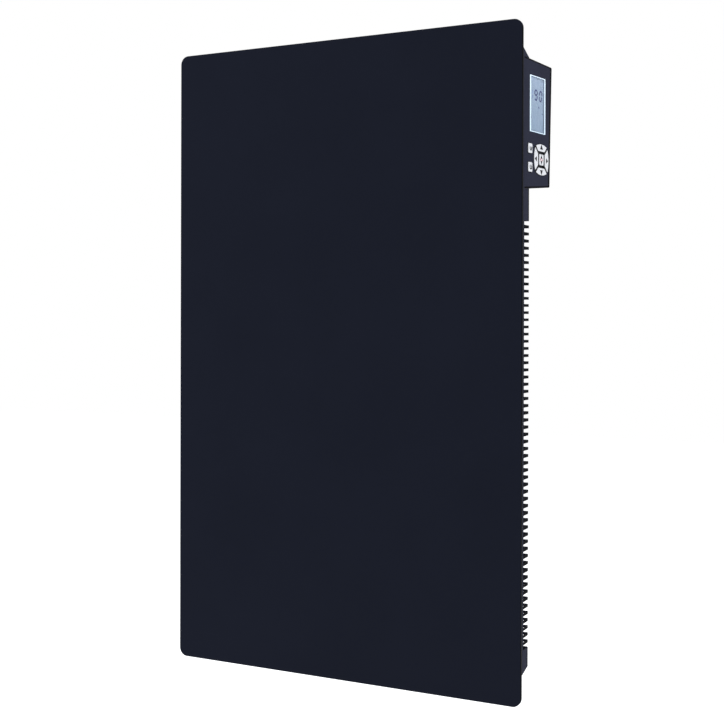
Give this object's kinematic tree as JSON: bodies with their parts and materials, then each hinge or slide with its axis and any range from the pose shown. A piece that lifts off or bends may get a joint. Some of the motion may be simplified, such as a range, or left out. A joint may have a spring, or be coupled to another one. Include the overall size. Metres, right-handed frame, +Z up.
{
  "type": "infrared panel heater",
  "caption": "Wall-hung infrared panel heater: dark glass heating panel on a slotted steel casing, with a side control box with display and keys, hung on a latching wall bracket.",
  "frame": {"origin": "on the wall plane, at the centre of the wall-contact face of the bracket's crossbar, level with the middle of the glass panel's height and width", "axes": "+X to the right as seen from the front, +Y towards the wall, +Z up; the glass faces -Y"},
  "size_m": [0.5096, 0.085, 0.83],
  "materials": {
    "enamelled_glass": "satin",
    "painted_steel": "satin",
    "zinc_steel": "satin",
    "dark_plastic": "satin",
    "black_plastic": "matte",
    "black_rubber": "matte",
    "key_plastic": "satin",
    "clear_plastic": "gloss",
    "display_face": "satin",
    "white_plastic": "satin",
    "circuit_board": "satin",
    "relay_case": "satin",
    "transformer_tape": "satin",
    "aluminium": "satin",
    "foil": "satin",
    "brass": "satin",
    "mica": "satin",
    "fibre": "matte",
    "live_sleeve": "satin",
    "neutral_sleeve": "satin"
  },
  "bodies": {
    "heater": {"front_panel": "enamelled_glass", "edge_seal": "black_rubber", "mica_front": "mica", "heating_element": "foil", "mica_rear": "mica", "insulation_mat": "fibre", "reflector_sheet": "aluminium", "thermal_cutout": "black_plastic", "element_stud_live": "brass", "element_stud_neutral": "brass", "rear_casing": "painted_steel", "retaining_rail_top": "zinc_steel", "retaining_rail_middle": "zinc_steel", "retaining_rail_bottom": "zinc_steel", "rail_screw_top_left": "zinc_steel", "rail_screw_top_right": "zinc_steel", "rail_screw_middle_left": "zinc_steel", "rail_screw_middle_right": "zinc_steel", "rail_screw_bottom_left": "zinc_steel", "rail_screw_bottom_right": "zinc_steel", "control_housing": "dark_plastic", "housing_screw_bottom": "zinc_steel", "housing_screw_top": "zinc_steel", "power_board": "circuit_board", "supply_terminal": "black_plastic", "relay": "relay_case", "transformer": "transformer_tape", "heat_sink": "aluminium", "ribbon_cable": "white_plastic", "cord_inlet": "black_rubber", "wire_grommet": "black_rubber", "live_wire": "live_sleeve", "neutral_wire": "neutral_sleeve", "link_wire": "live_sleeve", "control_fascia": "dark_plastic", "display_lens": "clear_plastic", "display_frame": "white_plastic", "display_glass": "display_face", "display_backlight": "white_plastic", "display_board": "circuit_board", "room_sensor": "black_plastic", "key_guide": "black_plastic", "keypad_mat": "black_rubber", "bracket_crossbar": "zinc_steel", "bracket_upright_left": "zinc_steel", "bracket_upright_right": "zinc_steel", "latch_pin_left": "zinc_steel", "latch_pin_right": "zinc_steel", "latch_catch_left": "painted_steel", "latch_catch_right": "painted_steel"},
    "up_key": {"key_up": "key_plastic"},
    "down_key": {"key_down": "key_plastic"},
    "left_key": {"key_left": "key_plastic"},
    "right_key": {"key_right": "key_plastic"},
    "ok_key": {"key_ok": "key_plastic"},
    "mode_key": {"key_mode": "key_plastic"},
    "power_key": {"key_power": "key_plastic"},
    "left_latch": {"latch_left": "zinc_steel"},
    "right_latch": {"latch_right": "zinc_steel"}
  },
  "joints": [
    {"name": "up_key_press", "type": "slide", "parent": "heater", "child": "up_key", "axis": [-0.9903, 0.1392, 0], "range_m": [0, 0.0008], "stiffness_N_per_m": 600},
    {"name": "down_key_press", "type": "slide", "parent": "heater", "child": "down_key", "axis": [-0.9903, 0.1392, 0], "range_m": [0, 0.0008], "stiffness_N_per_m": 600},
    {"name": "left_key_press", "type": "slide", "parent": "heater", "child": "left_key", "axis": [-0.9903, 0.1392, 0], "range_m": [0, 0.0008], "stiffness_N_per_m": 600},
    {"name": "right_key_press", "type": "slide", "parent": "heater", "child": "right_key", "axis": [-0.9903, 0.1392, 0], "range_m": [0, 0.0008], "stiffness_N_per_m": 600},
    {"name": "ok_key_press", "type": "slide", "parent": "heater", "child": "ok_key", "axis": [-0.9903, 0.1392, 0], "range_m": [0, 0.0008], "stiffness_N_per_m": 600},
    {"name": "mode_key_press", "type": "slide", "parent": "heater", "child": "mode_key", "axis": [-0.9903, 0.1392, 0], "range_m": [0, 0.0008], "stiffness_N_per_m": 600},
    {"name": "power_key_press", "type": "slide", "parent": "heater", "child": "power_key", "axis": [-0.9903, 0.1392, 0], "range_m": [0, 0.0008], "stiffness_N_per_m": 600},
    {"name": "left_latch_turn", "type": "hinge", "parent": "heater", "child": "left_latch", "pos_m": [-0.124, -0.0541, 0.226], "axis": [0, -1, 0], "range_deg": [0, 90]},
    {"name": "right_latch_turn", "type": "hinge", "parent": "heater", "child": "right_latch", "pos_m": [0.124, -0.0541, 0.226], "axis": [0, 1, 0], "range_deg": [0, 90]}
  ]
}
